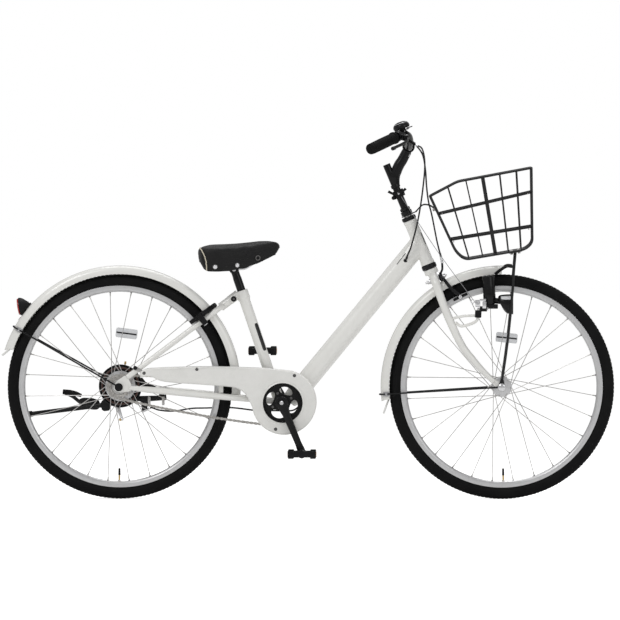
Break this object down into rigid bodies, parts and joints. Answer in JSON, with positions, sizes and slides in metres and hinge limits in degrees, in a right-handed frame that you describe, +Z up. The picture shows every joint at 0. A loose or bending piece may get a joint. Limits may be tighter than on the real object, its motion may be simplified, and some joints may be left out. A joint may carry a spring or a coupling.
{
  "type": "city bicycle",
  "caption": "Step-through city bicycle with wire front basket, full fenders, chain case, side stand, ring lock and a fork-mounted dynamo lamp.",
  "frame": {"origin": "where the rear tyre stands on the ground", "axes": "+X forward, from the rear wheel to the front wheel, +Y to the rider's left, +Z up"},
  "size_m": [1.8095, 0.5966, 1.1165],
  "materials": {
    "head_tube": "warm white gloss paint",
    "down_tube": "warm white gloss paint",
    "seat_tube": "warm white gloss paint",
    "bottom_bracket_shell": "bare steel",
    "chain_stays": "warm white gloss paint",
    "seat_stays": "warm white gloss paint",
    "lower_headset_cup": "black gloss",
    "upper_headset_cup": "black gloss",
    "rear_tyre": "black tread",
    "front_tyre": "black tread",
    "rear_wheel_rim": "satin",
    "front_wheel_rim": "satin",
    "rear_axle": "polished",
    "front_axle": "polished",
    "rear_fender": "warm white gloss paint",
    "front_fender": "warm white gloss paint",
    "rear_fender_stay": "black gloss",
    "front_fender_stay": "black gloss",
    "fork": "warm white gloss paint",
    "stem": "black gloss",
    "light_lever_clamp": "black",
    "light_lever": "black",
    "handlebar": "black gloss",
    "grip_right": "black ribbed",
    "brake_perch_right": "black gloss",
    "brake_lever_right": "black gloss",
    "grip_left": "black ribbed",
    "brake_perch_left": "black gloss",
    "brake_lever_left": "black gloss",
    "bell": "black gloss",
    "bell_lever": "black gloss",
    "chain_case": "white gloss",
    "chain": "bare steel",
    "chainring": "black gloss",
    "crank_right": "black gloss",
    "pedal_right": "black",
    "crank_left": "black gloss",
    "pedal_left": "black",
    "freewheel": "bare steel",
    "basket": "black gloss",
    "basket_stays": "black gloss",
    "basket_bracket": "black gloss",
    "caliper_arm_right": "black gloss",
    "caliper_arm_left": "black gloss",
    "brake_cover": "black gloss",
    "brake_arm": "polished",
    "dynamo": "black",
    "dynamo_roller": "bare steel",
    "lock_body": "black gloss",
    "lock_shackle": "polished",
    "stand_bracket": "black gloss",
    "stand_leg": "black gloss",
    "saddle": "black padded cover",
    "seat_post": "polished",
    "rear_reflector": "black",
    "rear_reflector_lens": "red",
    "rear_brake_cable_upper": "black cable casing",
    "front_brake_cable": "black cable casing",
    "rear_brake_cable": "black cable casing",
    "light_wire": "grey insulated wire"
  },
  "bodies": {
    "frame": {"head_tube": "head_tube", "down_tube": "down_tube", "seat_tube": "seat_tube", "bottom_bracket_shell": "bottom_bracket_shell", "chain_stays": "chain_stays", "seat_stays": "seat_stays", "upper_headset_cup": "upper_headset_cup", "lower_headset_cup": "lower_headset_cup", "rear_fender": "rear_fender", "rear_fender_stay": "rear_fender_stay", "rear_reflector": "rear_reflector", "rear_reflector_lens": "rear_reflector_lens", "chain_case": "chain_case", "chain": "chain", "rear_axle": "rear_axle", "brake_cover": "brake_cover", "lock_body": "lock_body", "rear_brake_cable": "rear_brake_cable", "stand_bracket": "stand_bracket"},
    "seat": {"seat_post": "seat_post", "saddle": "saddle"},
    "steering": {"fork": "fork", "basket_bracket": "basket_bracket", "stem": "stem", "light_lever_clamp": "light_lever_clamp", "handlebar": "handlebar", "grip_right": "grip_right", "grip_left": "grip_left", "brake_perch_right": "brake_perch_right", "brake_perch_left": "brake_perch_left", "bell": "bell", "front_fender": "front_fender", "front_fender_stay": "front_fender_stay", "basket": "basket", "basket_stays": "basket_stays", "front_axle": "front_axle", "front_brake_cable": "front_brake_cable", "light_wire": "light_wire", "rear_brake_cable_upper": "rear_brake_cable_upper"},
    "front_wheel": {"front_tyre": "front_tyre", "front_wheel_rim": "front_wheel_rim"},
    "rear_wheel": {"rear_tyre": "rear_tyre", "rear_wheel_rim": "rear_wheel_rim"},
    "crank": {"chainring": "chainring", "crank_right": "crank_right", "crank_left": "crank_left"},
    "freewheel": {"freewheel": "freewheel"},
    "pedal_right": {"pedal_right": "pedal_right"},
    "pedal_left": {"pedal_left": "pedal_left"},
    "brake_lever_right": {"brake_lever_right": "brake_lever_right"},
    "brake_lever_left": {"brake_lever_left": "brake_lever_left"},
    "caliper_arm_right": {"caliper_arm_right": "caliper_arm_right"},
    "caliper_arm_left": {"caliper_arm_left": "caliper_arm_left"},
    "brake_arm": {"brake_arm": "brake_arm"},
    "bell_lever": {"bell_lever": "bell_lever"},
    "light_lever": {"light_lever": "light_lever"},
    "dynamo": {"dynamo": "dynamo"},
    "dynamo_roller": {"dynamo_roller": "dynamo_roller"},
    "lock_shackle": {"lock_shackle": "lock_shackle"},
    "stand_leg": {"stand_leg": "stand_leg"}
  },
  "joints": [
    {"name": "seat_slide", "type": "slide", "parent": "frame", "child": "seat", "axis": [-0.3223, 0, 0.9466], "range_m": [-0.035, 0.09]},
    {"name": "steering", "type": "hinge", "parent": "frame", "child": "steering", "pos_m": [0.91061, 0, 0.69362], "axis": [-0.3859, 0, 0.9225], "range_deg": [-60, 60], "deforming": ["rear_brake_cable_upper"]},
    {"name": "front_wheel_spin", "type": "hinge", "parent": "steering", "child": "front_wheel", "pos_m": [1.128, 0, 0.332], "axis": [0, 1, 0], "continuous": true},
    {"name": "rear_wheel_spin", "type": "hinge", "parent": "frame", "child": "rear_wheel", "pos_m": [0, 0, 0.332], "axis": [0, 1, 0], "continuous": true},
    {"name": "crank_spin", "type": "hinge", "parent": "frame", "child": "crank", "pos_m": [0.48, 0, 0.286], "axis": [0, 1, 0], "continuous": true},
    {"name": "freewheel_spin", "type": "hinge", "parent": "frame", "child": "freewheel", "pos_m": [0, 0, 0.332], "axis": [0, 1, 0], "continuous": true},
    {"name": "pedal_right_spin", "type": "hinge", "parent": "crank", "child": "pedal_right", "pos_m": [0.54123, -0.145, 0.13818], "axis": [0, 1, 0], "continuous": true},
    {"name": "pedal_left_spin", "type": "hinge", "parent": "crank", "child": "pedal_left", "pos_m": [0.41877, 0.145, 0.43382], "axis": [0, 1, 0], "continuous": true},
    {"name": "brake_lever_right_pull", "type": "hinge", "parent": "steering", "child": "brake_lever_right", "pos_m": [0.84802, -0.18554, 1.06679], "axis": [0, 0.3036, -0.9528], "range_deg": [0, 14], "stiffness_Nm_per_rad": 2, "springref_deg": -5.73},
    {"name": "brake_lever_left_pull", "type": "hinge", "parent": "steering", "child": "brake_lever_left", "pos_m": [0.84802, 0.18554, 1.06679], "axis": [0, 0.3036, 0.9528], "range_deg": [0, 14], "stiffness_Nm_per_rad": 2, "springref_deg": -5.73},
    {"name": "caliper_arm_right_close", "type": "hinge", "parent": "steering", "child": "caliper_arm_right", "pos_m": [0.92994, 0, 0.6474], "axis": [0.9225, 0, 0.3859], "range_deg": [0, 1.4]},
    {"name": "caliper_arm_left_close", "type": "hinge", "parent": "steering", "child": "caliper_arm_left", "pos_m": [0.92994, 0, 0.6474], "axis": [-0.9225, 0, -0.3859], "range_deg": [0, 1.4]},
    {"name": "brake_arm_pull", "type": "hinge", "parent": "frame", "child": "brake_arm", "pos_m": [-0.01133, 0.0537, 0.27516], "axis": [0, -1, 0], "range_deg": [0, 12]},
    {"name": "bell_lever_push", "type": "hinge", "parent": "steering", "child": "bell_lever", "pos_m": [0.8505, -0.13864, 1.09543], "axis": [-0.3499, 0, 0.9368], "range_deg": [0, 25], "stiffness_Nm_per_rad": 0.02, "springref_deg": -5.73},
    {"name": "light_lever_turn", "type": "hinge", "parent": "steering", "child": "light_lever", "pos_m": [0.82359, -0.0207, 0.90165], "axis": [0, -1, 0], "range_deg": [0, 35]},
    {"name": "dynamo_swing", "type": "hinge", "parent": "steering", "child": "dynamo", "pos_m": [1.0705, -0.066, 0.563], "axis": [-1, 0, 0], "range_deg": [0, 5.5]},
    {"name": "dynamo_roller_spin", "type": "hinge", "parent": "dynamo", "child": "dynamo_roller", "pos_m": [1.08901, -0.0395, 0.64402], "axis": [0.0534, 0, -0.9986], "continuous": true},
    {"name": "lock_shackle_turn", "type": "hinge", "parent": "frame", "child": "lock_shackle", "pos_m": [0.2385, 0, 0.5415], "axis": [-0.5878, 0, 0.809], "range_deg": [0, 105]},
    {"name": "stand_leg_turn", "type": "hinge", "parent": "frame", "child": "stand_leg", "pos_m": [-0.045, 0.076, 0.275], "axis": [0, -1, 0], "range_deg": [0, 92]}
  ],
  "couplings": [
    {"joint": "freewheel_spin", "follows": "crank_spin", "ratio": 2.125},
    {"joint": "caliper_arm_right_close", "follows": "brake_lever_right_pull", "ratio": 0.1},
    {"joint": "caliper_arm_left_close", "follows": "brake_lever_right_pull", "ratio": 0.1},
    {"joint": "brake_arm_pull", "follows": "brake_lever_left_pull", "ratio": 0.857},
    {"joint": "dynamo_swing", "follows": "light_lever_turn", "ratio": 0.157}
  ]
}
